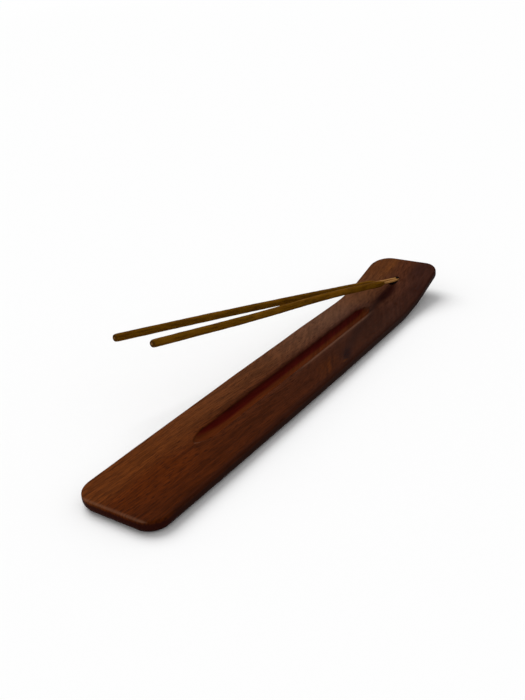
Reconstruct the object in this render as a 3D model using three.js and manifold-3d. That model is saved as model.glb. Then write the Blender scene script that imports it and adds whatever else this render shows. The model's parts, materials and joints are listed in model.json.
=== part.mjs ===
// Incense holder carved from one strip of hardwood, with two incense sticks standing in its hole.
// Millimetres, +Z up. +X runs along the strip towards its raised end, +Y is its left side, and
// the origin is the centre of the flat underside that the holder rests on.

import * as THREE from "three";
import { mergeVertices } from "three/addons/utils/BufferGeometryUtils.js";
import Module from "manifold-3d";

const { degToRad } = THREE.MathUtils;

// The strip.
const boardLength = 254; // measured along the underside
const boardThickness = 5.5;
const endWidth = 38;
const sideBulge = 1; // how far each side swells out at mid length
const edgeRadius = 1; // rounding of the upper edge, all the way round
const undersideRadius = 3.2; // and of the lower edge
const lowLeftCorner = 9.5; // corner radii in plan, low end
const lowRightCorner = 8.5;
const raisedCorner = 10.5; // the left corner of the raised end
const raisedRightCorner = 8.5;

// The raised end: a bend, then a straight tail.
const tailLength = 24.4;
const bendRadius = 125; // of the underside
const bendAngle = degToRad(15.4);

// The ash groove, ploughed with a round-nosed wheel that leaves a long scoop at each end.
const grooveGap = 48; // from the low end to the groove's tip
const grooveIntoBend = 5; // how far the groove runs past the start of the bend
const grooveWidth = 7.8;
const grooveDepth = 2.9;
const grooveOffset = 0.85; // off the centre line
const wheelRadius = 21;

// The sticks: a bamboo splint with incense paste rolled on it.
const coreDiameter = 1.3;
const stickLength = 184;
const bareLength = 21; // of splint left without paste
const pasteDiameter = 3.3;
const pasteGap = 0.3; // between a splint and the paste around it
const stickGap = 0.3; // between the two pastes where they come closest

// The stick hole, drilled right through and leaning back over the strip. It takes two splints
// side by side, so it grows with them.
const holePlay = 2;
const holeDiameter = 2 * coreDiameter + holePlay;
const holeToEnd = 22; // from the raised end to the middle of the hole's mouth
const holeOffset = -0.3;
const holeRise = degToRad(16); // above level
const holeSwing = degToRad(9); // towards the left side

// How each stick lies in the hole. `side` and `up` place it in the mouth as shares of the room
// that the hole leaves around one splint, `inset` is how far it reaches past the mouth's middle,
// `droop` and `swing` turn it from the hole's axis, and the two bows bend it upwards at one and
// two thirds of its length outside the hole.
const mouthRoom = (holeDiameter - coreDiameter) / 2;
const stickB = {
  side: -0.39,
  up: 0.11,
  inset: 7,
  droop: degToRad(7.1),
  swing: degToRad(-0.5),
  lowBow: 1.1,
  highBow: 0.07,
};
const stickA = {
  side: 0.74,
  up: 0.34,
  inset: 3.5,
  droop: degToRad(7.9),
  lowBow: 0.42,
  highBow: 0.45,
};
// stick_a fans out from stick_b just far enough for its paste to begin clear of the other's.
const mouthApart = (stickA.side - stickB.side) * mouthRoom;
const fan = Math.atan((pasteDiameter + stickGap - mouthApart) / (bareLength - stickA.inset));
stickA.swing = stickB.swing + fan;

// How finely round things are cut into flats.
const cornerSteps = 8;
const edgeSteps = 3;
const bendSteps = 10;
const flatSteps = 10;
const tailSteps = 3;
const acrossSteps = 2;
const scoopSteps = 8;
const grooveSides = 32;
const holeSides = 24;
const coreArc = 6;
const pasteArc = 8;
const coreStretches = 20;
const pasteStretches = 16;

const rosewood = new THREE.MeshStandardMaterial({ color: 0x5a2d17, roughness: 0.45, metalness: 0 });
const bamboo = new THREE.MeshStandardMaterial({ color: 0xb48a50, roughness: 0.6, metalness: 0 });
const paste = new THREE.MeshStandardMaterial({ color: 0x6b4f0c, roughness: 0.95, metalness: 0 });

const wasm = await Module();
wasm.setup();

// A closed geometry as a solid that can be cut.
function toSolid(geometry) {
  const bare = geometry.clone().deleteAttribute("normal").deleteAttribute("uv");
  const merged = mergeVertices(bare, 1e-4);
  return new wasm.Manifold(
    new wasm.Mesh({
      numProp: 3,
      vertProperties: merged.attributes.position.array,
      triVerts: new Uint32Array(merged.index.array),
    }),
  );
}

function toGeometry(solid) {
  const { vertProperties, triVerts } = solid.getMesh();
  const geometry = new THREE.BufferGeometry();
  geometry.setAttribute("position", new THREE.BufferAttribute(vertProperties, 3));
  geometry.setIndex(new THREE.BufferAttribute(triVerts, 1));
  return geometry;
}

// ---- The strip ----

const bendLength = bendRadius * bendAngle;
const flatLength = boardLength - bendLength - tailLength;

// The point `along` the underside and `height` above it, square to the strip.
function onStrip(along, y, height) {
  const turned = THREE.MathUtils.clamp((along - flatLength) / bendRadius, 0, bendAngle);
  const straight = Math.min(along, flatLength) - flatLength / 2;
  const beyond = Math.max(0, along - flatLength - bendLength);
  const underX = straight + bendRadius * Math.sin(turned) + beyond * Math.cos(turned);
  const underZ = bendRadius * (1 - Math.cos(turned)) + beyond * Math.sin(turned);
  return new THREE.Vector3(underX - height * Math.sin(turned), y, underZ + height * Math.cos(turned));
}

// How far a corner of radius r cuts into the side, `reach` from the end.
function cornerCut(r, reach) {
  return reach < r ? r - Math.sqrt(r * r - (r - reach) ** 2) : 0;
}

// Half the width on one side, for an outline drawn in by `inset`.
function sideAt(along, inset, lowCorner, raisedEndCorner) {
  const middle = (2 * along) / boardLength - 1;
  const half = endWidth / 2 + sideBulge * (1 - middle * middle) - inset;
  const low = cornerCut(lowCorner - inset, along - inset);
  const raised = cornerCut(raisedEndCorner - inset, boardLength - inset - along);
  return half - low - raised;
}

// Stations along the strip: round the corners, along the flat, round the bend, and along the tail.
const lowCorner = Math.max(lowLeftCorner, lowRightCorner);

function stationsFor(inset) {
  const stations = [];
  for (let i = 0; i < cornerSteps; i++) {
    stations.push(inset + (lowCorner - inset) * (1 - Math.cos((Math.PI / 2) * (i / cornerSteps))));
  }
  for (let i = 0; i < flatSteps; i++) {
    stations.push(THREE.MathUtils.lerp(lowCorner, flatLength, i / flatSteps));
  }
  for (let i = 0; i < bendSteps; i++) {
    stations.push(flatLength + (bendLength * i) / bendSteps);
  }
  const cornerStart = boardLength - raisedCorner;
  for (let i = 0; i < tailSteps; i++) {
    stations.push(THREE.MathUtils.lerp(flatLength + bendLength, cornerStart, i / tailSteps));
  }
  for (let i = 0; i <= cornerSteps; i++) {
    stations.push(cornerStart + (raisedCorner - inset) * Math.sin((Math.PI / 2) * (i / cornerSteps)));
  }
  return stations;
}

// Layers from the underside to the top: a rounded edge, the side, and a rounded edge.
const layers = [];
for (let i = 0; i <= edgeSteps; i++) {
  const turn = (Math.PI / 2) * (i / edgeSteps);
  const inset = undersideRadius * (1 - Math.sin(turn));
  layers.push({ height: undersideRadius * (1 - Math.cos(turn)), inset });
}
for (let i = edgeSteps; i >= 0; i--) {
  const turn = (Math.PI / 2) * (i / edgeSteps);
  const inset = edgeRadius * (1 - Math.sin(turn));
  layers.push({ height: boardThickness - edgeRadius * (1 - Math.cos(turn)), inset });
}

// A box of unit cells whose corners are moved onto the strip's surface.
function makeStrip() {
  const stations = layers.map((layer) => stationsFor(layer.inset));
  const alongSteps = stations[0].length - 1;
  const upSteps = layers.length - 1;
  const cells = [alongSteps, acrossSteps, upSteps];
  const geometry = new THREE.BoxGeometry(...cells, ...cells);
  geometry.translate(alongSteps / 2, acrossSteps / 2, upSteps / 2);
  const position = geometry.attributes.position;
  for (let n = 0; n < position.count; n++) {
    const k = Math.round(position.getZ(n));
    const along = stations[k][Math.round(position.getX(n))];
    const right = -sideAt(along, layers[k].inset, lowRightCorner, raisedRightCorner);
    const left = sideAt(along, layers[k].inset, lowLeftCorner, raisedCorner);
    const y = THREE.MathUtils.lerp(right, left, position.getY(n) / acrossSteps);
    position.setXYZ(n, ...onStrip(along, y, layers[k].height));
  }
  return geometry;
}

// The wheel's path as a spindle: a round bar whose ends run out on the wheel's radius.
function makeGrooveCutter() {
  const barRadius = (grooveWidth ** 2 / 4 + grooveDepth ** 2) / (2 * grooveDepth);
  const tipRun = Math.sqrt(2 * wheelRadius * grooveDepth - grooveDepth ** 2);
  const grooveEnd = flatLength + grooveIntoBend;
  const half = (grooveEnd - grooveGap) / 2 - tipRun;
  const runOut = Math.acos((wheelRadius - barRadius) / wheelRadius);
  const profile = new THREE.Path();
  profile.absarc(barRadius - wheelRadius, -half, wheelRadius, -runOut, 0, false);
  profile.absarc(barRadius - wheelRadius, half, wheelRadius, 0, runOut, false);
  const points = profile.getPoints(scoopSteps);
  points[0].x = 0;
  points[points.length - 1].x = 0;
  return new THREE.LatheGeometry(points, grooveSides)
    .rotateZ(-Math.PI / 2)
    .translate(
      (grooveGap + grooveEnd) / 2 - flatLength / 2,
      grooveOffset,
      boardThickness + barRadius - grooveDepth,
    );
}

// ---- The hole and the directions in it ----

// A unit vector that leans back over the strip, `rise` above level and `swing` to the left.
function leaning(rise, swing) {
  return new THREE.Vector3(
    -Math.cos(rise) * Math.cos(swing),
    Math.cos(rise) * Math.sin(swing),
    Math.sin(rise),
  );
}

const mouth = onStrip(boardLength - holeToEnd, holeOffset, boardThickness);
const holeAxis = leaning(holeRise, holeSwing);
const holeUp = leaning(holeRise + Math.PI / 2, holeSwing);
const holeSide = new THREE.Vector3().crossVectors(holeAxis, holeUp);

function makeHoleDrill() {
  const reach = 8 * holeDiameter; // well past both faces of the strip
  const turn = new THREE.Quaternion().setFromUnitVectors(new THREE.Vector3(0, 1, 0), holeAxis);
  return new THREE.CylinderGeometry(holeDiameter / 2, holeDiameter / 2, reach, holeSides)
    .applyQuaternion(turn)
    .translate(mouth.x, mouth.y, mouth.z);
}

// ---- The sticks ----

// The line of a stick, from its end in the hole to its tip.
function stickLine({ side, up, inset, droop, swing, lowBow, highBow }) {
  const axis = leaning(holeRise - droop, holeSwing + swing);
  const lift = leaning(holeRise - droop + Math.PI / 2, holeSwing + swing);
  const entry = mouth
    .clone()
    .addScaledVector(holeSide, side * mouthRoom)
    .addScaledVector(holeUp, up * mouthRoom);
  const outside = stickLength - inset;
  const at = (along, bow) => entry.clone().addScaledVector(axis, along).addScaledVector(lift, bow);
  return new THREE.CatmullRomCurve3(
    [at(-inset, 0), at(0, 0), at(outside / 3, lowBow), at((2 * outside) / 3, highBow), at(outside, 0)],
    false,
    "centripetal",
  );
}

// The stretch of a line from one distance along it to another.
function stretchOf(line, from, to) {
  const points = [];
  const steps = 12;
  for (let i = 0; i <= steps; i++) {
    points.push(line.getPointAt(THREE.MathUtils.lerp(from, to, i / steps) / line.getLength()));
  }
  return new THREE.CatmullRomCurve3(points, false, "centripetal");
}

function makeCore(line) {
  const section = new THREE.Shape().absarc(0, 0, coreDiameter / 2, 0, 2 * Math.PI, false);
  return new THREE.ExtrudeGeometry(section, {
    extrudePath: stretchOf(line, 0, line.getLength()),
    steps: coreStretches,
    curveSegments: coreArc,
  });
}

function makePaste(line) {
  const section = new THREE.Shape().absarc(0, 0, pasteDiameter / 2, 0, 2 * Math.PI, false);
  section.holes.push(new THREE.Path().absarc(0, 0, coreDiameter / 2 + pasteGap, 0, 2 * Math.PI, true));
  return new THREE.ExtrudeGeometry(section, {
    extrudePath: stretchOf(line, bareLength, line.getLength()),
    steps: pasteStretches,
    curveSegments: pasteArc,
  });
}

// ---- The assembly ----

const holder = new THREE.Group();

function addPiece(name, geometry, material) {
  const piece = new THREE.Mesh(geometry, material);
  piece.name = name;
  holder.add(piece);
}

const carvedStrip = toSolid(makeStrip())
  .subtract(toSolid(makeGrooveCutter()))
  .subtract(toSolid(makeHoleDrill()));
addPiece("holder_board", toGeometry(carvedStrip), rosewood);

for (const [name, lie] of [["stick_a", stickA], ["stick_b", stickB]]) {
  const line = stickLine(lie);
  addPiece(`${name}_core`, makeCore(line), bamboo);
  addPiece(`${name}_paste`, makePaste(line), paste);
}

export default holder;
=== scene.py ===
import json
import random
from math import acos, cos, pi, radians, sin, sqrt

import bmesh
import bpy
from mathutils import Matrix, Vector


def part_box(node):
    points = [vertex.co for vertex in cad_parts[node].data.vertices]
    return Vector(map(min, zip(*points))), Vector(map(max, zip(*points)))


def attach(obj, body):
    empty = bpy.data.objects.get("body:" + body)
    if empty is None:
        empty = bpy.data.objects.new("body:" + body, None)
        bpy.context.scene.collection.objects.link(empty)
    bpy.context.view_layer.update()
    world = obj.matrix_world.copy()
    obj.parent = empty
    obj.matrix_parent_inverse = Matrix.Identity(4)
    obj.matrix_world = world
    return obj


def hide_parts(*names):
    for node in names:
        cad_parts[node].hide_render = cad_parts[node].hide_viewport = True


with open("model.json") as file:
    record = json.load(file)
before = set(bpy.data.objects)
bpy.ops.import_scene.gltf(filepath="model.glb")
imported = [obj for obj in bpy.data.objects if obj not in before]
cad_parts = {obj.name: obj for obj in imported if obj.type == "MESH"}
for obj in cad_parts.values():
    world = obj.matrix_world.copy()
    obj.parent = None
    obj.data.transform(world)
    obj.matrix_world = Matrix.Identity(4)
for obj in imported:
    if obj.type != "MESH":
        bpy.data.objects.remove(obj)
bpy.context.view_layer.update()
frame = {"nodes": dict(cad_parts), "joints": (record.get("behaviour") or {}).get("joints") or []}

board_low, board_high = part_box("holder_board")

# ---- The board, its shape ----
# One strip of oiled rosewood, planed flat underneath, its edges rounded over and one end steamed
# and bent upwards. A round-nosed wheel has ploughed the ash groove, and the stick hole is drilled
# slanting through the raised end.

board_length = 0.2539
thickness = 0.0055
half_end = 0.019
bulge = board_high.y - half_end
upper_round = 0.001
lower_round = 0.0032
low_left_corner = 0.0095
low_right_corner = 0.0085
raised_left_corner = 0.0105
raised_right_corner = 0.0085
flat_length = 0.196
bend_length = 0.0336
bend_angle = radians(15.4)
bend_steps = 24
low_end = board_low.x
bend_start = low_end + flat_length
high_end = low_end + board_length
hair = 1e-6


def open_mesh(piece):
    """Makes one piece the only one selected, and opens its mesh for editing."""
    bpy.ops.object.select_all(action="DESELECT")
    bpy.context.view_layer.objects.active = piece
    piece.select_set(True)
    bpy.ops.object.mode_set(mode="EDIT")


def close_mesh():
    bpy.ops.object.mode_set(mode="OBJECT")


def name_piece(name):
    """Names the primitive just added, and puts its place and size into its mesh."""
    bpy.ops.object.transform_apply(location=True, rotation=True, scale=True)
    piece = bpy.context.active_object
    piece.name = name
    piece.data.name = name
    return piece


def pick(piece, kind, test):
    """Selects just the verts, edges or faces of the open mesh that pass the test."""
    bpy.ops.mesh.select_mode(type={"verts": "VERT", "edges": "EDGE", "faces": "FACE"}[kind])
    bpy.ops.mesh.select_all(action="DESELECT")
    mesh = bmesh.from_edit_mesh(piece.data)
    for part in getattr(mesh, kind):
        if test(part):
            part.select_set(True)
    bmesh.update_edit_mesh(piece.data)


def cut_through(place, square_to):
    """Cuts the whole open mesh along a plane, leaving both halves joined."""
    bpy.ops.mesh.select_all(action="SELECT")
    bpy.ops.mesh.bisect(plane_co=place, plane_no=square_to)


def round_over(radius, segments):
    bpy.ops.mesh.bevel(
        offset=radius, segments=segments, profile=0.5, affect="EDGES", clamp_overlap=False
    )


def use_modifier(piece, kind, **settings):
    """Adds a modifier to a piece and applies it."""
    modifier = piece.modifiers.new(kind.lower(), kind)
    for name, value in settings.items():
        setattr(modifier, name, value)
    bpy.ops.object.select_all(action="DESELECT")
    bpy.context.view_layer.objects.active = piece
    piece.select_set(True)
    bpy.ops.object.modifier_apply(modifier=modifier.name)


def grow(rings, middle):
    """Draws the selected ring out along X through rings of (place, radius) about a middle line."""
    for (place, radius), (next_place, next_radius) in zip(rings, rings[1:]):
        step = (next_place - place, 0, 0)
        bpy.ops.mesh.extrude_region_move(TRANSFORM_OT_translate={"value": step})
        share = next_radius / radius
        centre = (next_place, *middle)
        bpy.ops.transform.resize(value=(1, share, share), center_override=centre)


def carve(piece, cutter):
    """Takes the cutter's shape out of a piece, and throws the cutter away."""
    use_modifier(piece, "BOOLEAN", object=cutter, operation="DIFFERENCE", solver="EXACT")
    bpy.data.objects.remove(cutter)


def near_height(part, height):
    return all(abs(vertex.co.z - height) < hair for vertex in part.verts)


bpy.ops.object.select_all(action="DESELECT")
bpy.ops.mesh.primitive_cube_add(
    size=1,
    location=(low_end + board_length / 2, 0, thickness / 2),
    scale=(board_length, 2 * half_end, thickness),
)
board = name_piece("board")

# The sides swell a little towards the middle.
first_station = 0.014
flat_step = 0.0065
tail_step = 0.0045
bend_stations = [bend_start + bend_length * step / bend_steps for step in range(bend_steps + 1)]
flat_stations = [low_end + first_station + flat_step * step for step in range(28)]
tail_stations = [bend_stations[-1] + tail_step * step for step in range(1, 4)]
stations = flat_stations + bend_stations + tail_stations
open_mesh(board)
for x in stations:
    cut_through((x, 0, 0), (1, 0, 0))
for x in stations:
    share = 2 * (x - low_end) / board_length - 1
    swell = 1 + bulge * (1 - share**2) / half_end
    pick(board, "verts", lambda vertex: abs(vertex.co.x - x) < hair)
    bpy.ops.transform.resize(value=(1, swell, 1), center_override=(x, 0, 0))


# The four corners in plan, then every long and end edge.
corner_segments = 14


def round_corner(x, side, radius):
    def is_corner(edge):
        first, second = (vertex.co for vertex in edge.verts)
        upright = abs(first.z - second.z) > thickness / 2
        return upright and abs(first.x - x) < hair and first.y * side > 0

    pick(board, "edges", is_corner)
    round_over(radius, corner_segments)


round_corner(low_end, 1, low_left_corner)
round_corner(low_end, -1, low_right_corner)
round_corner(high_end, 1, raised_left_corner)
round_corner(high_end, -1, raised_right_corner)


def is_rim(edge):
    faces = [face.normal.z for face in edge.link_faces]
    return max(abs(z) for z in faces) > 0.9 and min(abs(z) for z in faces) < 0.1


bmesh.from_edit_mesh(board.data).normal_update()
pick(board, "edges", is_rim)
close_mesh()
sharpness = board.data.attributes.new("bevel_weight_edge", "FLOAT", "EDGE")
for edge, weight in zip(board.data.edges, sharpness.data):
    upper = board.data.vertices[edge.vertices[0]].co.z > thickness / 2
    weight.value = edge.select * (upper_round / lower_round if upper else 1)
use_modifier(
    board, "BEVEL", width=lower_round, segments=7, limit_method="WEIGHT", use_clamp_overlap=False
)

# The ash groove: a round bar's path whose ends run out on the wheel's radius.
groove_tip = low_end + 0.048
groove_end = bend_start + 0.005
groove_side = 0.00085
groove_depth = 0.0029
groove_half = 0.0039
wheel = 0.021
bar = (groove_half**2 + groove_depth**2) / (2 * groove_depth)
tip_run = sqrt(2 * wheel * groove_depth - groove_depth**2)
run_out = acos((wheel - bar) / wheel)
groove_middle = (groove_side, thickness + bar - groove_depth)
scoop_steps = 16
scoop = []
for step in range(1, scoop_steps + 1):
    turn = run_out * (1 - step / scoop_steps)
    scoop.append((wheel * sin(turn), wheel * cos(turn) - wheel + bar))
groove_rings = [(groove_tip + tip_run - reach, radius) for reach, radius in scoop]
groove_rings += [(groove_end - tip_run + reach, radius) for reach, radius in reversed(scoop)]
bpy.ops.mesh.primitive_circle_add(
    vertices=72,
    radius=groove_rings[0][1],
    fill_type="NGON",
    location=(groove_rings[0][0], *groove_middle),
    rotation=(0, pi / 2, 0),
)
groove_cutter = name_piece("groove_cutter")
open_mesh(groove_cutter)
bpy.ops.mesh.select_all(action="SELECT")
grow(groove_rings, groove_middle)
bpy.ops.mesh.select_all(action="SELECT")
bpy.ops.mesh.normals_make_consistent(inside=False)
close_mesh()
carve(board, groove_cutter)

# The stick hole, where the bent board has it but drilled while the board is still flat.
hole_place = 0.232
hole_side = -0.0003
hole_radius = 0.0023
hole_rise = radians(16)
hole_swing = radians(9)
hole_axis = Vector(
    (-cos(hole_rise) * cos(hole_swing), cos(hole_rise) * sin(hole_swing), sin(hole_rise))
)
flat_axis = Matrix.Rotation(bend_angle, 3, "Y") @ hole_axis
drill_turn = flat_axis.to_track_quat("Z", "Y")
bpy.ops.object.select_all(action="DESELECT")
bpy.ops.mesh.primitive_cylinder_add(
    vertices=48,
    radius=hole_radius,
    depth=16 * hole_radius,
    location=(low_end + hole_place, hole_side, thickness),
    rotation=drill_turn.to_euler(),
)
carve(board, name_piece("drill"))

# The groove's lips and the hole's mouth are softened, and the board gets lines to bend along.
lip = 0.00035
lip_reach = 0.0045
mouth_half_length = 0.0046
mouth_half_width = 0.0032
open_mesh(board)


def is_lip(edge):
    middle = (edge.verts[0].co + edge.verts[1].co) / 2
    in_length = groove_tip - lip < middle.x < groove_end + lip
    in_width = abs(middle.y - groove_side) < lip_reach
    return near_height(edge, thickness) and in_length and in_width


def is_mouth(edge):
    middle = (edge.verts[0].co + edge.verts[1].co) / 2
    in_length = abs(middle.x - low_end - hole_place) < mouth_half_length
    in_width = abs(middle.y - hole_side) < mouth_half_width
    return near_height(edge, thickness) and in_length and in_width


pick(board, "edges", is_lip)
round_over(lip, 3)
pick(board, "edges", is_mouth)
round_over(lip / 2, 2)
line_step = 0.0025
end_lines = [low_end + line_step * step for step in range(1, 5)]
end_lines += [high_end - line_step * step for step in range(1, 4)]
for x in stations + end_lines:
    cut_through((x, 0, 0), (1, 0, 0))
side_lines = (-0.0145, -0.0105, -0.0065, 0.0075, 0.0112, 0.0148)
for y in side_lines:
    cut_through((0, y, 0), (0, 1, 0))
bpy.ops.mesh.select_all(action="SELECT")
bpy.ops.mesh.remove_doubles(threshold=2 * hair)
close_mesh()

# Each point remembers where it lay in the flat board, in millimetres from the low end, so that
# the figure of the wood follows the bend.
strip_place = board.data.attributes.new("strip", "FLOAT_VECTOR", "POINT")
for vertex, place in zip(board.data.vertices, strip_place.data):
    place.vector = 1000 * (vertex.co - Vector((low_end, 0, 0)))

# Hand sanding leaves the worked faces a little uneven. The underside stays flat.
sanded_from = 0.0007
sanding_depth = 0.0003
worked = board.vertex_groups.new(name="worked")
worked.add([v.index for v in board.data.vertices if v.co.z > sanded_from], 1, "REPLACE")
sanding = bpy.data.textures.new("sanding", "CLOUDS")
sanding.noise_scale = 0.022
use_modifier(
    board,
    "DISPLACE",
    texture=sanding,
    strength=sanding_depth,
    mid_level=0.9,
    vertex_group="worked",
)

# The bend, a fraction of a degree at a time from the far end back.
open_mesh(board)
for x in reversed(bend_stations[:-1]):
    hinge = x + bend_length / bend_steps / 2
    pick(board, "verts", lambda vertex: vertex.co.x > hinge)
    bpy.ops.transform.rotate(
        value=bend_angle / bend_steps, orient_axis="Y", center_override=(hinge, 0, 0)
    )
close_mesh()
bpy.ops.object.shade_smooth_by_angle(angle=radians(35))

# ---- The board, its finish ----
# Oiled rosewood: long brown streaks that lean a little at the low end, a knot on the right edge
# that the grain flows round, a smoky streak from the knot to the stick hole, and open pores. The
# oil is rubbed into the bare wood, with no varnish over it.


class Wire:
    """A socket in a material's node tree, so that shader maths can be written as sums."""

    def __init__(self, tree, socket=None):
        self.tree = tree
        self.socket = socket

    def node(self, kind, settings, sockets, out=0):
        """Adds any node: its settings first, then the values or wires of its sockets."""
        made = self.tree.nodes.new(kind)
        for name, value in settings.items():
            if name == "stops":
                for place, colour in value[len(made.color_ramp.elements):]:
                    made.color_ramp.elements.new(place)
                for stop, (place, colour) in zip(made.color_ramp.elements, value):
                    stop.position = place
                    stop.color = colour
            elif name == "points":
                curve = made.mapping.curves[0]
                for place, height in value[len(curve.points):]:
                    curve.points.new(place, height)
                for point, (place, height) in zip(curve.points, value):
                    point.location = (place, height)
                made.mapping.update()
            else:
                setattr(made, name, value)
        for key, value in sockets.items():
            if isinstance(value, Wire):
                self.tree.links.new(value.socket, made.inputs[key])
            else:
                made.inputs[key].default_value = value
        return Wire(self.tree, made.outputs[out]) if made.outputs else None

    def maths(self, operation, *values):
        return self.node("ShaderNodeMath", {"operation": operation}, dict(enumerate(values)))

    def __add__(self, other):
        return self.maths("ADD", self, other)

    def __radd__(self, other):
        return self.maths("ADD", other, self)

    def __sub__(self, other):
        return self.maths("SUBTRACT", self, other)

    def __rsub__(self, other):
        return self.maths("SUBTRACT", other, self)

    def __mul__(self, other):
        return self.maths("MULTIPLY", self, other)

    def __rmul__(self, other):
        return self.maths("MULTIPLY", other, self)

    def __truediv__(self, other):
        return self.maths("DIVIDE", self, other)

    def __abs__(self):
        return self.maths("ABSOLUTE", self)

    def part(self, axis):
        return self.node("ShaderNodeSeparateXYZ", {}, {0: self}, axis)

    def rise(self, low, high):
        """0 below low, 1 above high, and smooth between them."""
        return self.node(
            "ShaderNodeMapRange",
            {"interpolation_type": "SMOOTHSTEP"},
            {"Value": self, "From Min": low, "From Max": high},
        )

    def hump(self, middle, reach):
        """1 at the middle, falling smoothly to 0 at that reach on both sides."""
        return 1 - abs(self - middle).rise(0, reach)

    def mix(self, first, second):
        """The first colour where this is 0, and the second where it is 1."""
        return self.node(
            "ShaderNodeMix", {"data_type": "RGBA"}, {0: self, 6: first, 7: second}, 2
        )

    def scaled(self, share):
        """This colour made darker or paler by a share that changes over the surface."""
        return self.node(
            "ShaderNodeVectorMath", {"operation": "SCALE"}, {0: self, "Scale": share}
        )


def new_finish(name):
    """An empty material, and a wire to build its nodes from."""
    material = bpy.data.materials.new(name)
    material.use_nodes = True
    material.node_tree.nodes.clear()
    return material, Wire(material.node_tree)


def paint(red, green, blue):
    """A colour given on a scale of 255, as a linear colour."""
    mixed = []
    for share in (red / 255, green / 255, blue / 255):
        mixed.append(share / 12.92 if share <= 0.04045 else ((share + 0.055) / 1.055) ** 2.4)
    return (*mixed, 1)


def stretched(wire, x, y, z, detail=2):
    """Noise from 0 to 1 about one unit across, at a place worked out from three wires."""
    place = wire.node("ShaderNodeCombineXYZ", {}, {0: x, 1: y, 2: z})
    settings = {"Vector": place, "Scale": 1, "Detail": detail, "Roughness": 0.55}
    return wire.node("ShaderNodeTexNoise", {}, settings)


rosewood, wood = new_finish("oiled_rosewood")
strip = wood.node("ShaderNodeAttribute", {"attribute_name": "strip"}, {}, "Vector")
along = strip.part("X")
across = strip.part("Y")
height = strip.part("Z")

# The lie of the grain: it leans a little at the low end, wanders, and bends round the knot. Past
# the middle its figure slants across the board, as it does beside a knot.
lean = 0.045 * wood.maths("MINIMUM", along, 115)
wander = 5 * stretched(wood, along / 80, across / 26, height / 20) - 2.5
wander = wander + 0.9 * stretched(wood, along / 13, across / 4, height / 5) - 0.45
pushed = 5 * along.hump(141, 34) * across.hump(-19, 22)
grain = across + lean + wander - pushed
slant = radians(25)
slant_along = cos(slant) * along + sin(slant) * across
slant_across = cos(slant) * across - sin(slant) * along
slanting = along.rise(106, 134) * (1 - 0.6 * along.rise(192, 230))

bands = stretched(wood, along / 45, grain / 1.9, height / 7, 5)
lines = stretched(wood, along / 9, grain / 0.5, height / 2.5, 5)
strokes = stretched(wood, slant_along / 13, slant_across / 1.5, height / 3, 3)
fibres = stretched(wood, along / 7, grain / 0.22, height / 0.9)
pores = stretched(wood, along / 4, grain / 0.42, height / 0.8).rise(0.55, 0.62)
clouds = stretched(wood, along / 24, across / 9, height / 9)
straight_streaks = (0.4 * bands + 0.6 * lines).rise(0.36, 0.64)
slanting_streaks = (0.3 * bands + 0.7 * strokes).rise(0.36, 0.64)
streaks = straight_streaks * (1 - slanting) + slanting_streaks * slanting

# Its ground colour: orange brown at the low end, duller in the middle, purplish at the raised
# end, and on all of it warmer and paler at the left side than at the right.
figure_length = 254
share_along = (along + 16 * (clouds - 0.5)) / figure_length


def ground(low, middle, raised, last):
    stops = [(0.1, low), (0.43, middle), (0.7, raised), (0.95, last)]
    return wood.node("ShaderNodeValToRGB", {"stops": stops}, {"Fac": share_along})


left_ground = ground(
    paint(88, 43, 13), paint(90, 51, 27), paint(94, 62, 44), paint(84, 46, 20)
)
middle_ground = ground(
    paint(74, 30, 4), paint(70, 35, 19), paint(80, 48, 36), paint(74, 39, 22)
)
right_ground = ground(
    paint(63, 25, 5), paint(61, 28, 13), paint(52, 28, 19), paint(55, 29, 21)
)
drift = across + 5 * (clouds - 0.5)
drift = drift + 2 * (1 - along.rise(45, 60)) + 3 * along.rise(195, 215)
colour = drift.rise(-10, 1).mix(right_ground, middle_ground)
colour = drift.rise(2, 12).mix(colour, left_ground)
colour = colour.scaled(1 + (streaks - 0.5) * (0.72 - 0.34 * slanting))

# The knot's smoky streak runs from the right edge, under the groove's lip, to the stick hole. In
# front of the knot is an amber patch, below the hole a dark red painted shadow of the sticks, and
# the raised end has a pale and a dark stripe.
smoke_line = wood.node(
    "ShaderNodeFloatCurve",
    {"points": [(0, 0.1), (0.14, 0.34), (0.35, 0.6), (0.56, 0.75), (0.67, 0.9), (1, 0.96)]},
    {"Value": (along - 136) / 95},
)
smoke_off = across + 20 - 20 * smoke_line + 2.4 * (strokes - 0.5)
smoke_reach = 4.2 - 1.4 * along.rise(195, 212)
smoke = smoke_off.hump(0, smoke_reach) * along.rise(134, 141)
smoke = smoke * (1 - along.rise(222, 234))
colour = (0.78 * smoke).mix(colour, paint(44, 25, 20))
knot = smoke_off.hump(-0.5, 2.8) * along.hump(144, 10)
colour = (0.85 * knot).mix(colour, paint(24, 13, 16))
fleck = along.hump(138, 3) * across.hump(-17.6, 0.9)
colour = (0.6 * fleck).mix(colour, paint(100, 55, 16))
amber = along.hump(129, 15) * (across - 0.25 * (along - 129)).hump(-13, 5.5)
colour = (0.5 * amber * strokes.rise(0.25, 0.65)).mix(colour, paint(88, 42, 8))
ember = along.hump(246, 13) * (across + 0.1 * (along - 246)).hump(6.4, 2.6)
colour = (0.5 * ember).mix(colour, paint(104, 58, 22))
# Painted shadow: the dark red patch by the hole is the shadow that the sticks cast, painted into
# the wood.
stick_shadow = along.hump(219, 17) * (across + 0.05 * (along - 226)).hump(-2.3, 5.3)
colour = (0.85 * stick_shadow.rise(0, 0.8)).mix(colour, paint(33, 6, 6))
dusk = along.hump(247, 15) * across.hump(-9, 5) + along.hump(228, 9) * across.hump(-16, 4)
colour = (0.5 * dusk).mix(colour, paint(42, 22, 20))

# Fibres and pores darken it, and the pores are more open on the right side.
open_pores = pores * (0.9 - 0.4 * across.rise(1, 10))
colour = open_pores.mix(colour, paint(46, 18, 6))
colour = colour.scaled(1.12 - 0.3 * fibres.rise(0.42, 0.72))
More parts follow.
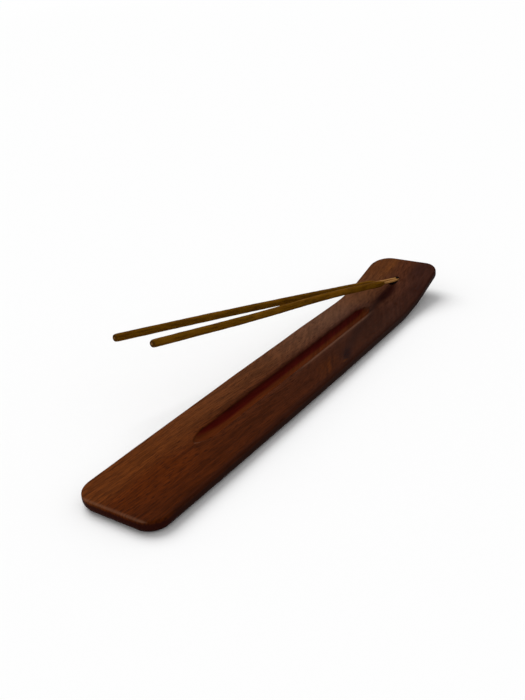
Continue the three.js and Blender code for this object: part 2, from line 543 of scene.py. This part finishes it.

# The groove's left wall is painted darker and redder than its orange right wall: painted shade on
# redder cut wood. Its left lip gets a painted shade. The walls all round are darker, partly grain
# that drank more oil and partly painted shade, and the right rim gets a painted shade.
groove_low = 48
groove_line = 0.85
in_groove = along.rise(groove_low, 53) * (1 - along.rise(197, 202))
in_groove = in_groove * across.hump(groove_line, 5).rise(0, 0.25) * (1 - height.rise(4.7, 5.3))
# Painted shade: the groove's left wall is made darker and redder than its right, partly redder cut
# wood and partly the shade on that wall.
groove_shade_line = across + 1.2 * (bands - 0.5) - 2 * (1 - along.rise(groove_low, 74))
groove_wood_and_shade = groove_shade_line.rise(1.5, 3.1).mix(paint(86, 38, 13), paint(68, 9, 6))
groove_wood_and_shade = groove_wood_and_shade.scaled(0.8 + 0.4 * streaks)
colour = (0.9 * in_groove).mix(colour, groove_wood_and_shade)
# Painted shade: a dark band along the groove's left lip, where its shade falls.
left_lip_shade = across.hump(5, 1.9) * along.rise(58, 84) * (1 - along.rise(196, 204))
colour = (0.5 * left_lip_shade).mix(colour, paint(44, 12, 4))
inner = across.hump(groove_line, 6).rise(0, 0.2)
inner = inner * along.rise(46, 50) * (1 - along.rise(204, 208))
# Painted shade: the walls all round are darkened, partly grain that took more oil and partly shade
# on walls turned from the lamp; the right rim's darkening is painted shade alone.
wall_shade_and_oil = (1 - height.rise(3.7, 4.9)) * (1 - inner)
right_rim_shade = (1 - across.rise(-19, -16.6)) * along.rise(4, 12)
colour = (0.6 * right_rim_shade).mix(colour, paint(38, 18, 13))
wall_oil_and_shade_colour = along.rise(4, 20).mix(paint(36, 11, 9), paint(34, 17, 12))
colour = (0.88 * wall_shade_and_oil).mix(colour, wall_oil_and_shade_colour)

# The rim of the low end, the groove's right lip and the lip of its low tip get pale pink painted
# highlights.
low_rim_highlight = along.hump(0.7, 1.1) * height.hump(5.2, 0.6) * (0.5 + lines)
right_lip_highlight = across.hump(-3.7, 1.3) * along.rise(112, 135) * (1 - along.rise(186, 200))
off_tip = groove_line - across
tip_lip_highlight = (along - groove_low - 0.6 * off_tip * off_tip).hump(0, 1) * off_tip.rise(0, 0.6)
tip_lip_highlight = tip_lip_highlight * (1 - along.rise(50.5, 53))
painted_highlights = 0.5 * low_rim_highlight + 0.45 * right_lip_highlight + 0.6 * tip_lip_highlight
colour = painted_highlights.mix(colour, paint(118, 82, 62))

dip = 0.6 * pores + 0.25 * fibres + 0.15 * lines
pore_depth = 0.0001
bump = wood.node(
    "ShaderNodeBump", {"invert": True}, {"Strength": 0.35, "Distance": pore_depth, "Height": dip}
)
rough = 0.26 + 0.08 * lines + 0.15 * pores
surface = wood.node(
    "ShaderNodeBsdfPrincipled",
    {},
    {"Base Color": colour, "Roughness": rough, "Normal": bump, "Specular IOR Level": 0.004},
)
wood.node("ShaderNodeOutputMaterial", {}, {"Surface": surface})
board.data.materials.append(rosewood)

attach(board, "holder")
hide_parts("holder_board")

# ---- The incense sticks, straight as they leave the drying rack ----
# A splint of split bamboo with incense paste rolled on it. The paste starts thin, stops round at
# the tip, and shows the splint's end there. One stick is made, and each is bent to its own lie.

core_radius = 0.00065
paste_radius = 0.00182
paste_bore = 0.0007
bare_length = 0.018
fibre_depth = 0.0001
grit_depth = 0.0001


def ring_middles(node, axis):
    """The middle of each ring of corners along a rod, from the end that is held."""
    corners = {tuple(round(c, 7) for c in v.co) for v in frame["nodes"][node].data.vertices}
    corners = sorted((Vector(corner) for corner in corners), key=axis.dot)
    rings = [[corners[0]]]
    for corner in corners[1:]:
        if axis.dot(corner - rings[-1][-1]) > 0.001:
            rings.append([])
        rings[-1].append(corner)
    return [sum(ring, Vector()) / len(ring) for ring in rings]


def line_length(points):
    return sum((after - before).length for before, after in zip(points, points[1:]))


axes = {joint["child"]: Vector(joint["axis"]) for joint in frame["joints"]}
lies = {stick: ring_middles(f"{stick}_core", axis) for stick, axis in axes.items()}
stick_length = min(line_length(points) for points in lies.values())

# The splint: a ring of sixteen corners, pressed flat on two sides, drawn out with small changes.
rng = random.Random(12)
splint_steps = 72
splint_rings = [(0, core_radius * 0.9), (0.0002, core_radius * 0.97)]
for step in range(1, splint_steps):
    place = stick_length * step / splint_steps
    splint_rings.append((place, core_radius * rng.uniform(0.94, 1)))
splint_rings.append((stick_length - 0.0002, core_radius * 0.96))
splint_rings.append((stick_length, core_radius * 0.8))
bpy.ops.object.select_all(action="DESELECT")
bpy.ops.mesh.primitive_circle_add(
    vertices=16, radius=splint_rings[0][1], fill_type="NGON", rotation=(0, pi / 2, 0)
)
splint = name_piece("splint")
open_mesh(splint)
bpy.ops.mesh.select_all(action="SELECT")
grow(splint_rings, (0, 0))
for up in (1, -1):
    pick(splint, "verts", lambda vertex: vertex.co.z * up > core_radius * 0.8)
    bpy.ops.transform.translate(value=(0, 0, -0.06 * core_radius * up))
bpy.ops.mesh.select_all(action="SELECT")
bpy.ops.mesh.normals_make_consistent(inside=False)
close_mesh()

# The paste: a thick sleeve, tapered where it begins, lumpy along its length and round at the tip.
paste_length = stick_length - bare_length
paste_rings = [(0, 0.00085), (0.0004, 0.00102), (0.0014, 0.00122), (0.0026, 0.00152)]
paste_steps = 118
for step in range(3, paste_steps - 1):
    place = paste_length * step / paste_steps
    paste_rings.append((place, paste_radius * rng.uniform(0.965, 1)))
paste_rings += [(paste_length - 0.001, 0.00174), (paste_length - 0.0004, 0.00156)]
paste_rings += [(paste_length - 0.0001, 0.00128), (paste_length, 0.00092)]
paste_rings += [(paste_length - 0.0001, paste_bore)]
bore_steps = 40
for step in range(1, bore_steps):
    paste_rings.append((paste_length * (1 - step / bore_steps), paste_bore))
paste_rings.append((0.0001, paste_bore))
paste_rings = [(bare_length + place, radius) for place, radius in paste_rings]
bpy.ops.object.select_all(action="DESELECT")
bpy.ops.mesh.primitive_circle_add(
    vertices=24,
    radius=paste_rings[0][1],
    fill_type="NOTHING",
    location=(paste_rings[0][0], 0, 0),
    rotation=(0, pi / 2, 0),
)
sleeve = name_piece("sleeve")
open_mesh(sleeve)
bpy.ops.mesh.select_all(action="SELECT")
grow(paste_rings, (0, 0))

# The bore's last ring is joined to the first ring outside, which closes the sleeve.
mouth_end = paste_rings[0][0] + 0.00015
pick(sleeve, "edges", lambda edge: all(vertex.co.x < mouth_end for vertex in edge.verts))
bpy.ops.mesh.bridge_edge_loops()
bpy.ops.mesh.select_all(action="SELECT")
bpy.ops.mesh.normals_make_consistent(inside=False)
close_mesh()
use_modifier(sleeve, "SUBSURF", levels=1, render_levels=1)
rolled = sleeve.vertex_groups.new(name="rolled")
outside = 0.8 * paste_bore + 0.0003
outer = [v.index for v in sleeve.data.vertices if v.co.yz.length > outside]
rolled.add(outer, 1, "REPLACE")
crumbs = bpy.data.textures.new("crumbs", "CLOUDS")
crumbs.noise_scale = 0.0008
lumps = bpy.data.textures.new("lumps", "CLOUDS")
lumps.noise_scale = 0.006
for texture, strength in ((crumbs, 0.00008), (lumps, 0.00012)):
    use_modifier(
        sleeve,
        "DISPLACE",
        texture=texture,
        strength=strength,
        mid_level=0.85,
        vertex_group="rolled",
    )

# Each piece remembers where it lay on the straight stick, in millimetres.
for piece in (splint, sleeve):
    straight = piece.data.attributes.new("straight", "FLOAT_VECTOR", "POINT")
    for vertex, place in zip(piece.data.vertices, straight.data):
        place.vector = 1000 * vertex.co

bamboo, cane = new_finish("split_bamboo")
straight = cane.node("ShaderNodeAttribute", {"attribute_name": "straight"}, {}, "Vector")
cane_along, cane_y, cane_z = (straight.part(axis) for axis in "XYZ")
cane_lines = stretched(cane, cane_along / 14, cane_y / 0.16, cane_z / 0.16, 3)
cane_clouds = stretched(cane, cane_along / 5, cane_y / 1.2, cane_z / 1.2)
cane_colour = cane_lines.rise(0.35, 0.65).mix(paint(140, 94, 46), paint(196, 146, 84))
cane_colour = (0.5 * cane_clouds.rise(0.45, 0.7)).mix(cane_colour, paint(150, 98, 48))
scorched = cane_lines.rise(0.62, 0.7)
cane_colour = (0.3 * scorched).mix(cane_colour, paint(86, 52, 24))
stained = cane_along.rise(14, 17.5) * 0.5 + cane_along.rise(60, 61) * 0.4
cane_colour = stained.mix(cane_colour, paint(104, 68, 22))
cane_bump = cane.node(
    "ShaderNodeBump", {}, {"Strength": 0.5, "Distance": fibre_depth, "Height": cane_lines}
)
cane_rough = 0.55 + 0.2 * cane_lines
cane_surface = cane.node(
    "ShaderNodeBsdfPrincipled",
    {},
    {
        "Base Color": cane_colour,
        "Roughness": cane_rough,
        "Normal": cane_bump,
        "Specular IOR Level": 0.08,
    },
)
cane.node("ShaderNodeOutputMaterial", {}, {"Surface": cane_surface})

incense, powder = new_finish("incense_paste")
straight = powder.node("ShaderNodeAttribute", {"attribute_name": "straight"}, {}, "Vector")
paste_along, paste_y, paste_z = (straight.part(axis) for axis in "XYZ")
grit = stretched(powder, paste_along / 0.35, paste_y / 0.3, paste_z / 0.3, 3)
smears = stretched(powder, paste_along / 7, paste_y / 0.8, paste_z / 0.8, 3)
patches = stretched(powder, paste_along / 11, paste_y / 3, paste_z / 3)
paste_colour = smears.rise(0.35, 0.65).mix(paint(76, 44, 0), paint(99, 64, 2))
paste_colour = (0.6 * patches.rise(0.5, 0.72)).mix(paste_colour, paint(112, 71, 8))
paste_colour = (0.6 * grit.rise(0.58, 0.7)).mix(paste_colour, paint(131, 93, 16))
paste_colour = (0.6 * (1 - grit.rise(0.3, 0.42))).mix(paste_colour, paint(47, 24, 0))
tip_ring = paste_along.rise(1000 * stick_length - 1, 1000 * stick_length - 0.2)
paste_colour = (0.6 * tip_ring).mix(paste_colour, paint(60, 34, 6))
paste_bump = powder.node(
    "ShaderNodeBump",
    {},
    {"Strength": 0.6, "Distance": grit_depth, "Height": 0.7 * grit + 0.3 * smears},
)
paste_rough = 0.8 + 0.15 * grit
paste_surface = powder.node(
    "ShaderNodeBsdfPrincipled",
    {},
    {
        "Base Color": paste_colour,
        "Roughness": paste_rough,
        "Normal": paste_bump,
        "Specular IOR Level": 0.03,
    },
)
powder.node("ShaderNodeOutputMaterial", {}, {"Surface": paste_surface})
splint.data.materials.append(bamboo)
sleeve.data.materials.append(incense)

# ---- The two sticks in the hole ----
# Each lies as the slanting hole lets it droop: the left one reaches further over the board, and
# the right one is pushed deeper in. Both can be drawn out by hand.


def bent_copy(piece, name, line, turn):
    """A copy of a straight piece, rolled about its own length and bent along a line."""
    bpy.ops.object.select_all(action="DESELECT")
    bpy.context.view_layer.objects.active = piece
    piece.select_set(True)
    bpy.ops.object.duplicate(linked=False)
    copy = bpy.context.active_object
    copy.name = name
    copy.data.name = name
    copy.rotation_euler = (turn, 0, 0)
    bpy.ops.object.transform_apply(location=False, rotation=True, scale=False)
    use_modifier(copy, "CURVE", object=line, deform_axis="POS_X")
    bpy.ops.object.shade_smooth_by_angle(angle=radians(50))
    return copy


for stick, turn in (("stick_a", 0), ("stick_b", 2.3)):
    lie = bpy.data.curves.new(f"{stick}_lie", "CURVE")
    lie.dimensions = "3D"
    lie.resolution_u = 24
    spline = lie.splines.new("BEZIER")
    spline.bezier_points.add(len(lies[stick]) - 1)
    for point, place in zip(spline.bezier_points, lies[stick]):
        point.co = place
        point.handle_left_type = "AUTO"
        point.handle_right_type = "AUTO"
    line = bpy.data.objects.new(f"{stick}_lie", lie)
    bpy.context.scene.collection.objects.link(line)
    core = bent_copy(splint, f"{stick}_splint", line, turn)
    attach(core, stick)
    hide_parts(f"{stick}_core")
    sleeve_copy = bent_copy(sleeve, f"{stick}_incense", line, turn)
    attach(sleeve_copy, stick)
    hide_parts(f"{stick}_paste")
    bpy.data.objects.remove(line)
bpy.data.objects.remove(splint)
bpy.data.objects.remove(sleeve)

# ---- The floor ----
# A plain white sheet, which the holder only rests on. It is so large that its edge is out of
# sight.

bpy.ops.object.select_all(action="DESELECT")
bpy.ops.mesh.primitive_plane_add(size=60, location=(0, 0, 0))
floor = name_piece("floor")
sheet, white = new_finish("white_sheet")
mottle = white.node("ShaderNodeTexNoise", {}, {"Scale": 3})
white_surface = white.node(
    "ShaderNodeBsdfPrincipled",
    {},
    {
        "Base Color": mottle.mix(paint(247, 247, 247), paint(251, 251, 251)),
        "Roughness": 0.9,
        "Specular IOR Level": 0,
    },
)
white.node("ShaderNodeOutputMaterial", {}, {"Surface": white_surface})
floor.data.materials.append(sheet)

# ---- The light ----
# One broad soft lamp high on the left, towards the raised end, and a dim even sky. The camera
# sees the sky brighter than it shines, so that the backdrop is as white as the floor.

scene = bpy.context.scene
scene.view_settings.view_transform = "Standard"
world = bpy.data.worlds.new("sky")
world.use_nodes = True
background = world.node_tree.nodes["Background"]
background.inputs["Color"].default_value = (1, 1, 1, 1)
sky_shine = 0.6
seen_extra = 0.38
seen = Wire(world.node_tree).node("ShaderNodeLightPath", {}, {})
brightness = sky_shine + seen_extra * seen
world.node_tree.links.new(brightness.socket, background.inputs["Strength"])
scene.world = world
bpy.ops.object.light_add(type="SUN", rotation=(0, 0, 0))
lamp = bpy.context.active_object
lamp.data.energy = 1.8
lamp.data.angle = radians(50)
lamp_bearing = radians(70)
lamp_rise = radians(52)
towards_lamp = Vector(
    (cos(lamp_rise) * cos(lamp_bearing), cos(lamp_rise) * sin(lamp_bearing), sin(lamp_rise))
)
lamp.rotation_euler = towards_lamp.to_track_quat("Z", "Y").to_euler()

# ---- The camera ----
# It stands off the low end, on the right side, and looks down along the board. It is rolled a
# little, with its right side low.

yaw = 0.5851
pitch = 0.4363
roll = -0.0491
camera_place = (-0.2489, -0.1641, 0.1626)
forward = Vector((cos(pitch) * cos(yaw), cos(pitch) * sin(yaw), -sin(pitch)))
level = Vector((sin(yaw), -cos(yaw), 0))
upward = level.cross(forward)
right = cos(roll) * level + sin(roll) * upward
upward = right.cross(forward)
camera_data = bpy.data.cameras.new("camera")
camera_data.sensor_width = 36
camera_data.lens = 40.52
camera_data.clip_start = 0.01
camera = bpy.data.objects.new("camera", camera_data)
scene.collection.objects.link(camera)
turned = Matrix((right, upward, -forward)).transposed().to_4x4()
camera.matrix_world = Matrix.Translation(camera_place) @ turned
scene.camera = camera
